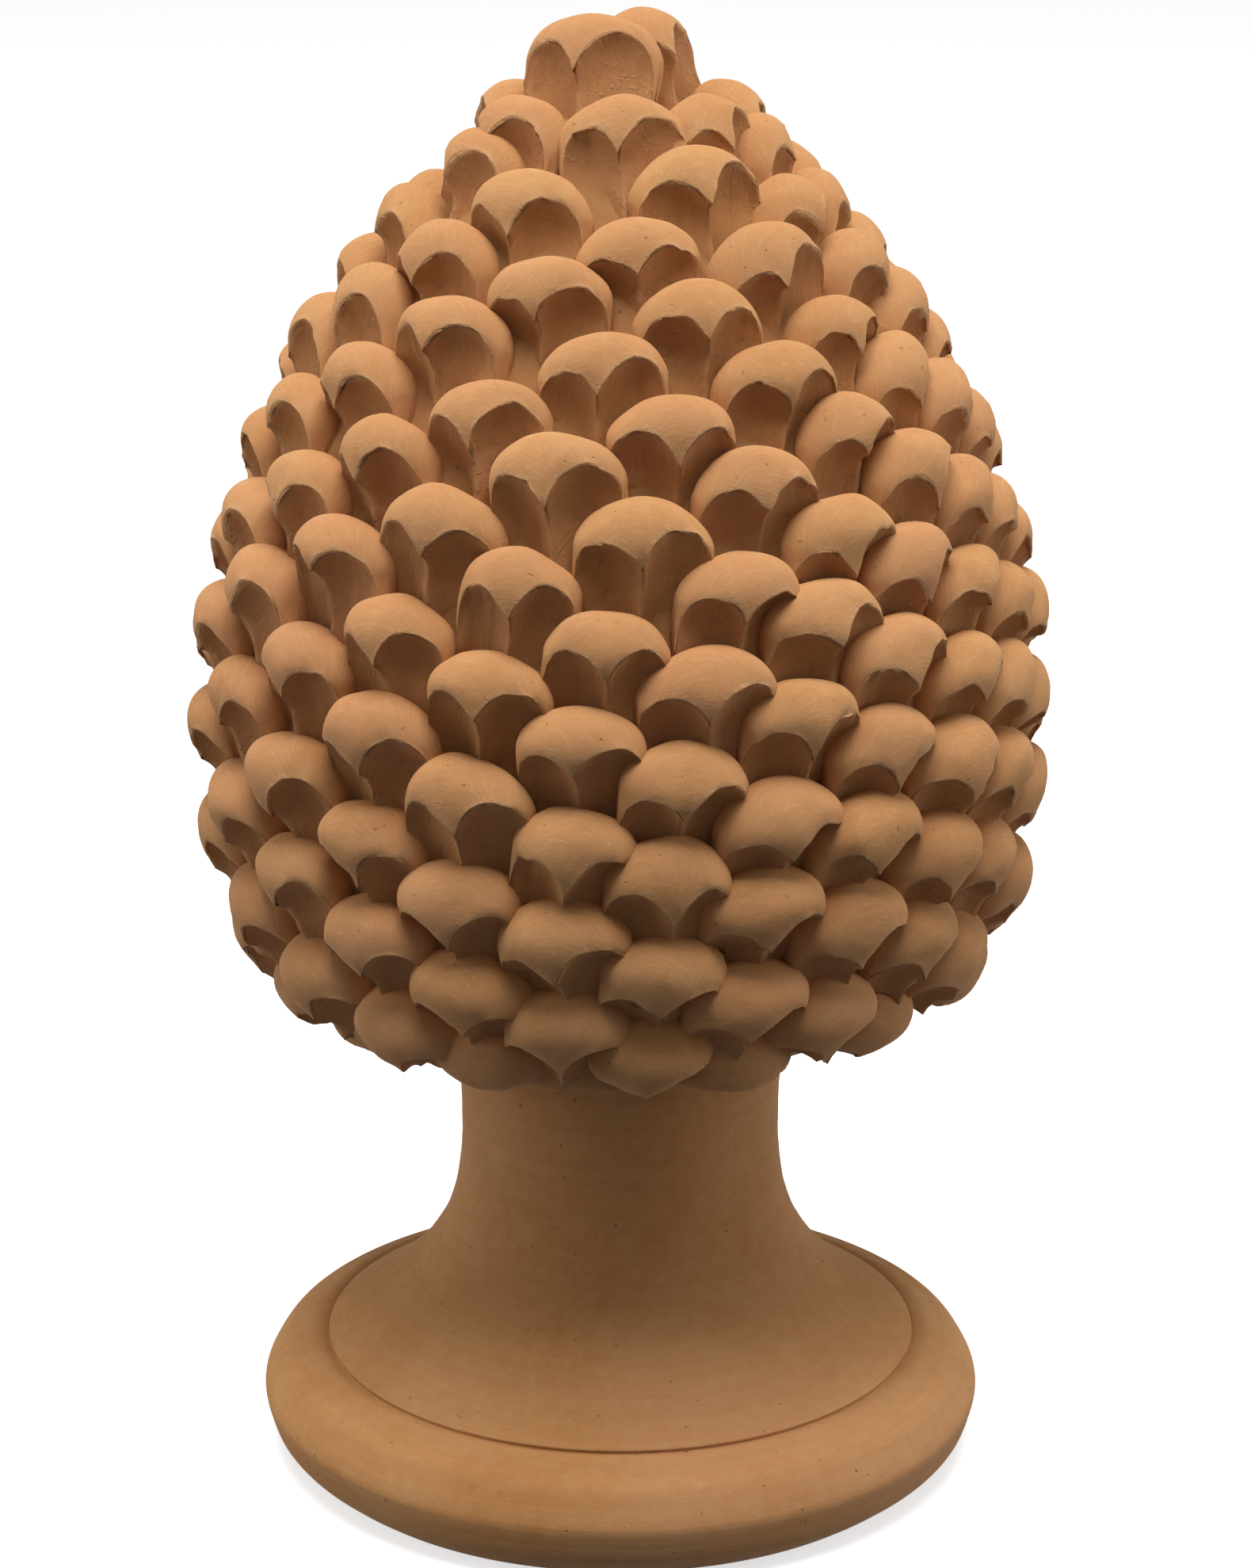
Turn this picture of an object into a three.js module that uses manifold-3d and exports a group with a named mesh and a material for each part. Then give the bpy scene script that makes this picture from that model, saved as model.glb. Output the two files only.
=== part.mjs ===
import * as THREE from "three";
import Module from "manifold-3d";

// Pinecone finial in biscuit-fired terracotta: a thrown hollow foot and neck under a closed cone of
// thumb-shaped scales, all one fired piece. Millimetres, +Z up, front towards -Y, standing on z = 0.

// Envelope of the cone, through the outermost points of the scales
const ENVELOPE_RADIUS = 100.2;
const EQUATOR_HEIGHT = 186;
const UPPER_HEIGHT = 166;
const LOWER_HEIGHT = 74;
const UPPER_FULLNESS = 0.9;
const LOWER_FULLNESS = 0.13;

// Rows of scales, numbered from the row nearest the middle of the cone, each half a step round from the last
const FIRST_ROW = -8;
const LAST_ROW = 10;
const SCALES_PER_ROW = 12;
const MIDDLE_ROW_AREA = 56300;
const ROW_AREA = 6760;
const ROW_AREA_GROWTH = 55;
const MIDDLE_ROW_TURN = -1.1;
const COLUMN_LEAN = -2;
const COLUMN_CURL = 0.13;
const SPREAD = 3.3;
const SPREAD_PER_ROW = -0.93;
const ROW_TILT = 0.16;
const ROW_TILT_PER_ROW = 0.178;
const TILT_FADE_ROW = 11.6;
const LEAST_ROW_AREA = 7000;

// Scales that close the tip above the rows: envelope area above each, its turn, and where it faces if not outwards
const TIP_RING_AREA = 4500;
const TIP_FILLER_AREA = 6100;
const TIP_PAIR_AREA = 700;
const TIP_SCALES = [
  ...[-57, 2, 48, 110, 165, -155, -105].map((turn) => ({ area: TIP_RING_AREA, turn, facing: turn })),
  { area: TIP_FILLER_AREA, turn: 86, facing: 86 },
  { area: TIP_PAIR_AREA, turn: -50, facing: -15 },
  { area: TIP_PAIR_AREA, turn: 130, facing: 55 },
];

// One scale, a flattened thumb with two gouged scoops below its domed end
const SCALE_HALF_WIDTH = 14.3;
const SCALE_HALF_THICKNESS = 9.5;
const END_LENGTH = 12;
const ROOT_LENGTH = 18;
const BACK_ROOT_LENGTH = 10;
const SEAT_DEPTH = 9.5;
const FRONT_SLOPE = 0.2;
const SCALE_ELEVATION = 60;
const LEAN_SHARE = 0.67;
const TIP_ELEVATION = 101;
const RIGHT_SCOOP = { across: 9, radius: 11, top: 10 };
const LEFT_SCOOP = { across: -9.7, radius: 11, top: 7 };
const SCOOP_HEIGHT = 12.4;
const SCOOP_STRETCH = 1.35;
const BELLY_ROW = 2;
const BELLY_DROP = 0.6;
const UNDERSIDE_HEIGHT = 118;
const UNDERSIDE_PRESS = 0.3;
const CREST_ANGLE = 15;
const DOME_ANGLE = -42;
const COLUMNS = [-1, -0.84, -0.5, -0.18, 0.02, 0.36, 0.72, 1];

// Hand-made variation, each the most that one scale departs from the rule
const SIZE_SPREAD = 0.05;
const TWIST_SPREAD = 5;
const ELEVATION_SPREAD = 4;
const TURN_SPREAD = 0.7;
const RISE_SPREAD = 1.2;

// Closed body under the scales
const CORE_DEPTH = 13;
const CORE_SEGMENTS = 24;
const CORE_STEPS = 12;

// Foot and neck
const FOOT_SEGMENTS = 48;
const RIM_RADIUS = 73.2;
const RIM_ROUND = 13.6;
const STAND_INNER_RADIUS = 60;
const STAND_OUTER_RADIUS = 77;
const LEDGE_HEIGHT = 28.2;
const LEDGE_RADIUS = 71.2;
const LEDGE_STEP = 0.8;
const WAIST_RADIUS = 38.2;
const WAIST_HEIGHT = 85;
const FLARE_POWER = 2.9;
const NECK_TOP_RADIUS = 41.8;
const NECK_TOP_HEIGHT = 115;
const WALL = 11;
const CAVITY_HEIGHT = 96;
const CEILING_RADIUS = 16;
const CEILING_DROP = 3;
const SHOULDER_DROP = 8;
const SWEEP_HEIGHTS = [30.5, 34, 39, 46, 56, 69];
const NECK_MIDDLE_HEIGHT = 101;
const NECK_SINK = 5;
const HOLLOW_HEIGHTS = [50, 30, 16];
const HOLLOW_LAG = 9;
const CORE_TOP_DROP = 27;
const CORE_TOP_RADIUS = 6;

// Fineness of the carved cone's faceted surface
const CONE_TRIANGLES = 8400;
const FACET_TURN = 1.7;

const radians = THREE.MathUtils.degToRad;
const degrees = THREE.MathUtils.radToDeg;

function envelopeRadius(z) {
  const upper = z > EQUATOR_HEIGHT;
  const t = Math.abs(z - EQUATOR_HEIGHT) / (upper ? UPPER_HEIGHT : LOWER_HEIGHT);
  return ENVELOPE_RADIUS * Math.pow(Math.max(0, 1 - t * t), upper ? UPPER_FULLNESS : LOWER_FULLNESS);
}

// Radius, height and area so far at even steps down the envelope.
function walkEnvelope() {
  const steps = 2000;
  const top = EQUATOR_HEIGHT + UPPER_HEIGHT;
  const fall = (UPPER_HEIGHT + LOWER_HEIGHT * 0.985) / steps;
  const walk = [{ r: 0, z: top, area: 0 }];
  for (let i = 1; i <= steps; i += 1) {
    const z = top - fall * i;
    const r = envelopeRadius(z);
    const last = walk[i - 1];
    walk.push({ r, z, area: last.area + Math.PI * (r + last.r) * Math.hypot(r - last.r, fall) });
  }
  return walk;
}

const walk = walkEnvelope();

// Point of the envelope with the given area above it; lean is the surface's own elevation.
function envelopeAtArea(area) {
  const found = walk.findIndex((p) => p.area >= Math.max(area, walk[1].area));
  const i = found < 1 ? walk.length - 1 : found;
  const a = walk[i - 1];
  const b = walk[i];
  const t = (area - a.area) / (b.area - a.area);
  return {
    r: a.r + (b.r - a.r) * t,
    z: a.z + (b.z - a.z) * t,
    lean: degrees(Math.atan2(a.z - b.z, a.r - b.r)),
  };
}

// Where a scale sits, at its depth under the point of the envelope with the given area above it.
function seatAt(area, turn, facing) {
  const { r, z, lean } = envelopeAtArea(area);
  return {
    turn,
    facing,
    lean,
    r: r - SEAT_DEPTH * Math.sin(radians(lean)),
    z: z + SEAT_DEPTH * Math.cos(radians(lean)),
  };
}

// Area of envelope above a scale of the leaning rows, and its turn.
function rowPlace(row, column) {
  const even = MIDDLE_ROW_TURN + COLUMN_LEAN * row + COLUMN_CURL * row * row + (180 / SCALES_PER_ROW) * column;
  const side = Math.sin(radians(even));
  const tilt = (ROW_TILT + ROW_TILT_PER_ROW * row) * Math.max(0, 1 - (row / TILT_FADE_ROW) ** 4);
  const tilted = row - tilt * side;
  return {
    area: MIDDLE_ROW_AREA + ROW_AREA * tilted + ROW_AREA_GROWTH * tilted * tilted,
    turn: even + (SPREAD + SPREAD_PER_ROW * row) * side,
  };
}

// Repeatable value between -1 and 1 for one scale and one property.
function vary(row, column, property) {
  const s = Math.sin(row * 12.9898 + column * 37.719 + property * 78.233) * 43758.5453;
  return 2 * (s - Math.floor(s)) - 1;
}

function outwards(turn) {
  return new THREE.Vector3(Math.sin(radians(turn)), -Math.cos(radians(turn)), 0);
}

function directions(turn, elevation, twist) {
  const t = radians(turn);
  const e = radians(elevation);
  const w = radians(twist);
  const out = outwards(turn);
  const right = new THREE.Vector3(Math.cos(t), Math.sin(t), 0);
  const end = out.clone().multiplyScalar(Math.cos(e));
  end.z = Math.sin(e);
  const face = out.clone().multiplyScalar(Math.sin(e));
  face.z = -Math.cos(e);
  return {
    across: right.clone().multiplyScalar(Math.cos(w)).addScaledVector(end, Math.sin(w)),
    along: end.clone().multiplyScalar(Math.cos(w)).addScaledVector(right, -Math.sin(w)),
    face,
  };
}

// Maps a scale's own across, along and forward lengths to the part's frame.
function scaleFrame(seat, row, column) {
  const even = row < FIRST_ROW ? TIP_ELEVATION : SCALE_ELEVATION + LEAN_SHARE * (seat.lean - 90);
  const elevation = even + ELEVATION_SPREAD * vary(row, column, 3);
  const stray = TURN_SPREAD * vary(row, column, 2);
  const d = directions(seat.facing + stray, elevation, TWIST_SPREAD * vary(row, column, 4));
  const size = 1 + SIZE_SPREAD * vary(row, column, 5);
  const centre = outwards(seat.turn + stray).multiplyScalar(seat.r);
  centre.z = seat.z + RISE_SPREAD * vary(row, column, 1);
  const place = (a, b, f) => centre.clone()
    .addScaledVector(d.across, a * size)
    .addScaledVector(d.along, b * size)
    .addScaledVector(d.face, f * size);
  const root = ROOT_LENGTH * Math.min(1, Math.max(0.4, (seat.lean - 15) / 75));
  const drop = BELLY_DROP * Math.max(0, row - BELLY_ROW);
  return { place, root, drop, tilt: radians(seat.lean - elevation) };
}

// Height of a scoop over the scale's middle plane, a across and b along.
function scoopHeight(scoop, a, b, drop) {
  const past = Math.max(0, scoop.radius - (scoop.top - drop - b) / SCOOP_STRETCH);
  const left = scoop.radius ** 2 - (a - scoop.across) ** 2 - past ** 2;
  return left > 0 ? SCOOP_HEIGHT - FRONT_SLOPE * b - Math.sqrt(left) : Infinity;
}

// Points round one column of a scale: back root, crest, dome, scoop edge, scoop and front root.
function scaleColumn(u, { tilt, root, drop }) {
  const a = SCALE_HALF_WIDTH * u;
  const round = Math.sqrt(1 - (0.97 * u) ** 2);
  const h = SCALE_HALF_THICKNESS * round;
  const l = END_LENGTH * round;
  const bulge = (angle) => {
    const d = tilt + radians(angle);
    const reach = Math.hypot(l * Math.cos(d), h * Math.sin(d));
    return [(l * l * Math.cos(d)) / reach, (-h * h * Math.sin(d)) / reach];
  };
  const cut = (b) => Math.min(scoopHeight(RIGHT_SCOOP, a, b, drop), scoopHeight(LEFT_SCOOP, a, b, drop));
  const front = (t) => {
    const b = t < 1 ? l * Math.cos((t * Math.PI) / 2) : -(t - 1) * root;
    return [b, t < 1 ? h * Math.sin((t * Math.PI) / 2) : h - FRONT_SLOPE * b];
  };
  let t = 0;
  while (t < 1.4 && front(t)[1] < cut(front(t)[0])) {
    t += 0.005;
  }
  const edge = front(t);
  const low = edge[0] - (edge[0] + root) * 0.45;
  const lower = t < 1.4 ? [[low, cut(low)], [-root, cut(-root)]] : [front(1.7), front(2)];
  return [[-BACK_ROOT_LENGTH, -h * 0.6], bulge(CREST_ANGLE), bulge(DOME_ANGLE), edge, ...lower]
    .map(([b, f]) => [a, b, f]);
}

function scaleSolid(wasm, frame) {
  const columns = COLUMNS.map((u) => scaleColumn(u, frame));
  const vertices = columns.flat().flatMap((p) => frame.place(...p).toArray());
  const rows = columns[0].length;
  const last = columns.length - 1;
  const triangles = [];
  for (let i = 0; i < last; i += 1) {
    for (let j = 0; j < rows; j += 1) {
      const p = i * rows + j;
      const q = i * rows + ((j + 1) % rows);
      triangles.push(p, q, p + rows, q, q + rows, p + rows);
    }
  }
  for (let j = 1; j < rows - 1; j += 1) {
    triangles.push(0, j + 1, j, last * rows, last * rows + j, last * rows + j + 1);
  }
  return solid(wasm, vertices, triangles);
}

function solid(wasm, vertices, triangles) {
  return new wasm.Manifold(new wasm.Mesh({
    numProp: 3,
    vertProperties: new Float32Array(vertices),
    triVerts: new Uint32Array(triangles),
  }));
}

function coneScales(wasm) {
  const scales = [];
  for (let row = FIRST_ROW; row <= LAST_ROW; row += 1) {
    for (let i = 0; i < SCALES_PER_ROW; i += 1) {
      const column = 2 * i + Math.abs(row % 2);
      const { area, turn } = rowPlace(row, column);
      if (area > LEAST_ROW_AREA) {
        scales.push(scaleSolid(wasm, scaleFrame(seatAt(area, turn, turn), row, column)));
      }
    }
  }
  TIP_SCALES.forEach(({ area, turn, facing }, i) => {
    scales.push(scaleSolid(wasm, scaleFrame(seatAt(area, turn, facing), FIRST_ROW - 1, i)));
  });
  return scales;
}

function coreProfile() {
  const bottom = NECK_TOP_HEIGHT;
  const rise = EQUATOR_HEIGHT + UPPER_HEIGHT - CORE_TOP_DROP - bottom;
  const profile = [[0, bottom]];
  for (let i = 0; i <= CORE_STEPS; i += 1) {
    const z = bottom + (rise * i) / CORE_STEPS;
    profile.push([Math.max(CORE_TOP_RADIUS, envelopeRadius(z) - CORE_DEPTH), z]);
  }
  profile.push([0, bottom + rise]);
  return profile;
}

function footOuterRadius(z) {
  if (z <= WAIST_HEIGHT) {
    const t = Math.max(0, (z - LEDGE_HEIGHT) / (WAIST_HEIGHT - LEDGE_HEIGHT));
    return WAIST_RADIUS + (LEDGE_RADIUS - WAIST_RADIUS) * Math.pow(1 - t, FLARE_POWER);
  }
  const t = (z - WAIST_HEIGHT) / (NECK_TOP_HEIGHT - WAIST_HEIGHT);
  return WAIST_RADIUS + (NECK_TOP_RADIUS - WAIST_RADIUS) * t * t;
}

function footProfile() {
  const profile = [[STAND_INNER_RADIUS, 0], [STAND_OUTER_RADIUS, 0]];
  for (const angle of [-50, -25, 0, 25, 50, 75]) {
    const a = radians(angle);
    profile.push([RIM_RADIUS + RIM_ROUND * Math.cos(a), RIM_ROUND + RIM_ROUND * Math.sin(a)]);
  }
  profile.push([LEDGE_RADIUS, LEDGE_HEIGHT - LEDGE_STEP], [LEDGE_RADIUS, LEDGE_HEIGHT]);
  for (const z of [...SWEEP_HEIGHTS, WAIST_HEIGHT, NECK_MIDDLE_HEIGHT, NECK_TOP_HEIGHT + NECK_SINK]) {
    profile.push([footOuterRadius(z), z]);
  }
  profile.push([0, NECK_TOP_HEIGHT + NECK_SINK], [0, CAVITY_HEIGHT]);
  profile.push([CEILING_RADIUS, CAVITY_HEIGHT - CEILING_DROP], [WAIST_RADIUS - WALL, WAIST_HEIGHT - SHOULDER_DROP]);
  for (const z of HOLLOW_HEIGHTS) {
    profile.push([footOuterRadius(z + HOLLOW_LAG) - WALL * 0.9, z]);
  }
  return profile;
}

// Merges the edges of a closed surface that tell least of its shape until few enough triangles are left.
function thinned(vertices, triangles, wanted) {
  const points = Array.from({ length: vertices.length / 3 }, (_, i) =>
    new THREE.Vector3().fromArray(vertices, 3 * i));
  const faces = Array.from({ length: triangles.length / 3 }, (_, i) => [...triangles.slice(3 * i, 3 * i + 3)]);
  const around = points.map(() => new Set());
  const errors = points.map(() => new Float64Array(10));
  const stamps = points.map(() => 0);
  const normalOf = ([a, b, c]) => b.clone().sub(a).cross(c.clone().sub(a));
  faces.forEach((face, i) => {
    const normal = normalOf(face.map((v) => points[v]));
    const area = normal.length() / 2;
    normal.normalize();
    const p = [normal.x, normal.y, normal.z, -normal.dot(points[face[0]])];
    for (const v of face) {
      around[v].add(i);
      let n = 0;
      for (let r = 0; r < 4; r += 1) {
        for (let c = r; c < 4; c += 1) {
          errors[v][n] += area * p[r] * p[c] * (r === c ? 1 : 2);
          n += 1;
        }
      }
    }
  });
  const errorAt = (e, { x, y, z }) => e[0] * x * x + e[1] * x * y + e[2] * x * z + e[3] * x + e[4] * y * y
    + e[5] * y * z + e[6] * y + e[7] * z * z + e[8] * z + e[9];
  const heap = [];
  const push = (item) => {
    let i = heap.push(item) - 1;
    while (i > 0 && heap[(i - 1) >> 1].cost > heap[i].cost) {
      const up = (i - 1) >> 1;
      [heap[i], heap[up]] = [heap[up], heap[i]];
      i = up;
    }
  };
  const pop = () => {
    const top = heap[0];
    const last = heap.pop();
    if (heap.length > 0) {
      heap[0] = last;
      let i = 0;
      for (;;) {
        let least = i;
        for (const k of [2 * i + 1, 2 * i + 2]) {
          if (k < heap.length && heap[k].cost < heap[least].cost) {
            least = k;
          }
        }
        if (least === i) {
          break;
        }
        [heap[i], heap[least]] = [heap[least], heap[i]];
        i = least;
      }
    }
    return top;
  };
  const offer = (a, b) => {
    const e = errors[a].map((value, i) => value + errors[b][i]);
    const middle = points[a].clone().lerp(points[b], 0.5);
    const best = [points[a], points[b], middle]
      .map((p) => ({ p, cost: errorAt(e, p) + 1e-3 * points[a].distanceToSquared(points[b]) }))
      .reduce((x, y) => (x.cost <= y.cost ? x : y));
    push({ ...best, a, b, stamp: stamps[a] + stamps[b] });
  };
  const neighbours = (v) => new Set([...around[v]].flatMap((f) => faces[f]).filter((w) => w !== v));
  const turnsOver = (v, other, p) => [...around[v]].some((f) => {
    if (faces[f].includes(other)) {
      return false;
    }
    const old = normalOf(faces[f].map((w) => points[w]));
    const now = normalOf(faces[f].map((w) => (w === v ? p : points[w])));
    return now.length() < 1e-2 || now.dot(old) < 0.3 * now.length() * old.length();
  });
  points.forEach((_, v) => neighbours(v).forEach((w) => v < w && offer(v, w)));
  let left = faces.length;
  while (left > wanted && heap.length > 0) {
    const { a, b, p, stamp } = pop();
    if (around[a].size === 0 || around[b].size === 0 || stamp !== stamps[a] + stamps[b]) {
      continue;
    }
    const near = neighbours(b);
    const shared = [...neighbours(a)].filter((v) => near.has(v));
    if (shared.length !== 2 || turnsOver(a, b, p) || turnsOver(b, a, p)) {
      continue;
    }
    for (const f of [...around[b]]) {
      if (faces[f].includes(a)) {
        faces[f].forEach((v) => around[v].delete(f));
        left -= 1;
      } else {
        faces[f] = faces[f].map((v) => (v === b ? a : v));
        around[a].add(f);
      }
    }
    around[b].clear();
    points[a] = p.clone();
    errors[a] = errors[a].map((value, i) => value + errors[b][i]);
    const changed = neighbours(a);
    stamps[a] += 1000;
    changed.forEach((v) => offer(a, v));
  }
  const kept = [...new Set(around.flatMap((set) => [...set]))].flatMap((f) => faces[f]);
  const used = [...new Set(kept)];
  const index = new Map(used.map((v, i) => [v, i]));
  return { vertices: used.flatMap((v) => points[v].toArray()), triangles: kept.map((v) => index.get(v)) };
}

const wasm = await Module();
wasm.setup();
const revolve = (profile, segments) =>
  wasm.Manifold.revolve(new wasm.CrossSection([profile], "Positive"), segments);
const joined = (pieces) => wasm.Manifold.union(pieces).simplify(0.05).decompose()
  .reduce((a, b) => (a.volume() > b.volume() ? a : b));
// The scales' undersides are pressed nearly flat where the cone meets the neck.
const pressed = (point) => {
  point[2] += (1 - UNDERSIDE_PRESS) * Math.max(0, UNDERSIDE_HEIGHT - point[2]);
};
const carved = joined([...coneScales(wasm), revolve(coreProfile(), CORE_SEGMENTS)]).warp(pressed).getMesh();
const cone = thinned(carved.vertProperties, carved.triVerts, CONE_TRIANGLES);
// The foot's facets are turned out of step with the cone's, so that no two edges coincide.
const foot = revolve(footProfile(), FOOT_SEGMENTS).rotate([0, 0, FACET_TURN]);
const whole = joined([solid(wasm, cone.vertices, cone.triangles), foot]).getMesh();

const geometry = new THREE.BufferGeometry();
geometry.setAttribute("position", new THREE.BufferAttribute(new Float32Array(whole.vertProperties), 3));
geometry.setIndex(new THREE.BufferAttribute(new Uint32Array(whole.triVerts), 1));
geometry.computeVertexNormals();

const terracotta = new THREE.MeshStandardMaterial({ color: 0xb9794c, roughness: 0.92, metalness: 0 });
const finial = new THREE.Mesh(geometry, terracotta);
finial.name = "pinecone_finial";

const part = new THREE.Group();
part.name = "pinecone_finial_part";
part.add(finial);

export default part;
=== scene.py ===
"""Pinecone finial in biscuit-fired terracotta, standing on a pale studio floor.

The CAD solid gives the place and size of everything. The fine surface is made here: the turned foot and neck,
the closed body of the cone, and its 229 gouged scales. Lengths are in millimetres until a mesh is made.
"""
import math

import bpy
import numpy as np
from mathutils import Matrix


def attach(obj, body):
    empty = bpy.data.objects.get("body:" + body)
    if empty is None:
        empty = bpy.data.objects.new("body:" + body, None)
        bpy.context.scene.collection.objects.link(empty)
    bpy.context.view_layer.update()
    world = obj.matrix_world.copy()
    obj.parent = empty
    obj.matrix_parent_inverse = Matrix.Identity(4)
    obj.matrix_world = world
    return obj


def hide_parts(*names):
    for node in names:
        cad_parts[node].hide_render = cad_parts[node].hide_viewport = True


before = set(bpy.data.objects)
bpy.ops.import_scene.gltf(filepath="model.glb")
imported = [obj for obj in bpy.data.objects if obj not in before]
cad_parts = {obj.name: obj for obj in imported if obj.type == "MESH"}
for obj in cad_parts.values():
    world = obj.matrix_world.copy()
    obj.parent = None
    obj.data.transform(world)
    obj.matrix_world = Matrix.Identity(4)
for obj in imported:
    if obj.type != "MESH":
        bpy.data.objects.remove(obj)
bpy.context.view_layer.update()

# Camera
# The photograph was taken from about a metre away with a long lens, looking down by about 18 degrees, so the
# plate on the foot shows as a broad ellipse in front of the neck.
PHOTO_HEIGHT = 1979
FOCAL_PIXELS = 5663
LOOKING_DOWN = 0.3098
camera = bpy.data.objects.new("camera", bpy.data.cameras.new("camera"))
camera.location = (0.00133, -1.00695, 0.48845)
camera.rotation_euler = (math.pi / 2 - LOOKING_DOWN, 0, 0)
camera.data.sensor_width = 36
camera.data.lens = 36 * FOCAL_PIXELS / PHOTO_HEIGHT
bpy.context.scene.collection.objects.link(camera)
bpy.context.scene.camera = camera

# Foot and neck
# Thrown in one on the wheel in red earthenware: a flange with a rounded rim, a plate on top of it that ends
# in a fine ledge and sweeps up to the narrow neck, and a hollow underneath. Turning left fine rings on it.
RIM_RADIUS = 73.2
RIM_ROUND = 13.6
RIM_ARC = (-62, 84)
STAND_INNER_RADIUS = 60
STAND_OUTER_RADIUS = 77
LEDGE_HEIGHT = 28.2
LEDGE_RADIUS = 71.2
LEDGE_STEP = 0.8
WAIST_RADIUS = 38.2
WAIST_HEIGHT = 85
FLARE_POWER = 2.9
NECK_TOP_RADIUS = 41.8
NECK_TOP_HEIGHT = 115
NECK_SINK = 5
WALL = 11
CAVITY_HEIGHT = 96
CEILING_RADIUS = 16
CEILING_DROP = 3
HOLLOW_HEIGHTS = (50, 44, 37, 30, 23, 16)
HOLLOW_LAG = 9
HOLLOW_SHOULDER = 3.5
LUMP_PLACE = (-11.4, -51.3)
LUMP_HEIGHT = 0.55
ROUGH_LEDGE_TURN = 0.93
ROUGH_LEDGE_HEIGHT = 0.5
NICK_PLACE = (86, -9, 19)
NICK_DEPTH = 1.1
FOOT_SEGMENTS = 288


def value_noise(points, size, seed):
    """Smooth random value from -1 to 1 at each point: random numbers at the corners of cubes of one size,
    blended inside each cube by the smoothstep of the place along each side."""
    table = np.random.default_rng(seed).uniform(-1, 1, (32, 32, 32))
    place = np.asarray(points, float) / size
    corner = np.floor(place).astype(int)
    part = place - corner
    part = part * part * (3 - 2 * part)
    total = np.zeros(place.shape[:-1])
    for dx in (0, 1):
        for dy in (0, 1):
            for dz in (0, 1):
                x, y, z = ((corner[..., i] + d) % 32 for i, d in enumerate((dx, dy, dz)))
                share = np.ones(place.shape[:-1])
                for i, d in enumerate((dx, dy, dz)):
                    share = share * (part[..., i] if d else 1 - part[..., i])
                total += share * table[x, y, z]
    return total


def clay_piece(name, points, faces, face_sizes, values, uv):
    """One mesh object from points in millimetres, faces as a flat list of point numbers with the number of
    corners of each, named values on the points, and a UV place for each point."""
    mesh = bpy.data.meshes.new(name)
    mesh.vertices.add(len(points))
    mesh.vertices.foreach_set("co", (np.asarray(points) * 0.001).astype(np.float32).ravel())
    starts = np.concatenate([[0], np.cumsum(face_sizes)[:-1]])
    mesh.loops.add(len(faces))
    mesh.loops.foreach_set("vertex_index", np.asarray(faces, np.int32))
    mesh.polygons.add(len(face_sizes))
    mesh.polygons.foreach_set("loop_start", starts.astype(np.int32))
    mesh.update(calc_edges=True)
    mesh.validate()
    for key, value in values.items():
        layer = mesh.attributes.new(key, "FLOAT", "POINT")
        layer.data.foreach_set("value", np.asarray(value, np.float32).ravel())
    layer = mesh.uv_layers.new(name="clay")
    layer.data.foreach_set("uv", np.asarray(uv, np.float32)[np.asarray(faces)].ravel())
    mesh.shade_smooth()
    piece = bpy.data.objects.new(name, mesh)
    bpy.context.scene.collection.objects.link(piece)
    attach(piece, "root")
    return piece


def foot_radius(z):
    """Outside radius of the sweep and neck: the waist radius plus a flare that fades by a power of the height
    still to go up to the waist, and above the waist a slight widening by the square of the height."""
    below = np.clip((WAIST_HEIGHT - z) / (WAIST_HEIGHT - LEDGE_HEIGHT), 0, 1)
    above = np.clip((z - WAIST_HEIGHT) / (NECK_TOP_HEIGHT - WAIST_HEIGHT), 0, None)
    flare = (LEDGE_RADIUS - WAIST_RADIUS) * below ** FLARE_POWER
    return WAIST_RADIUS + flare + (NECK_TOP_RADIUS - WAIST_RADIUS) * above ** 2


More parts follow.
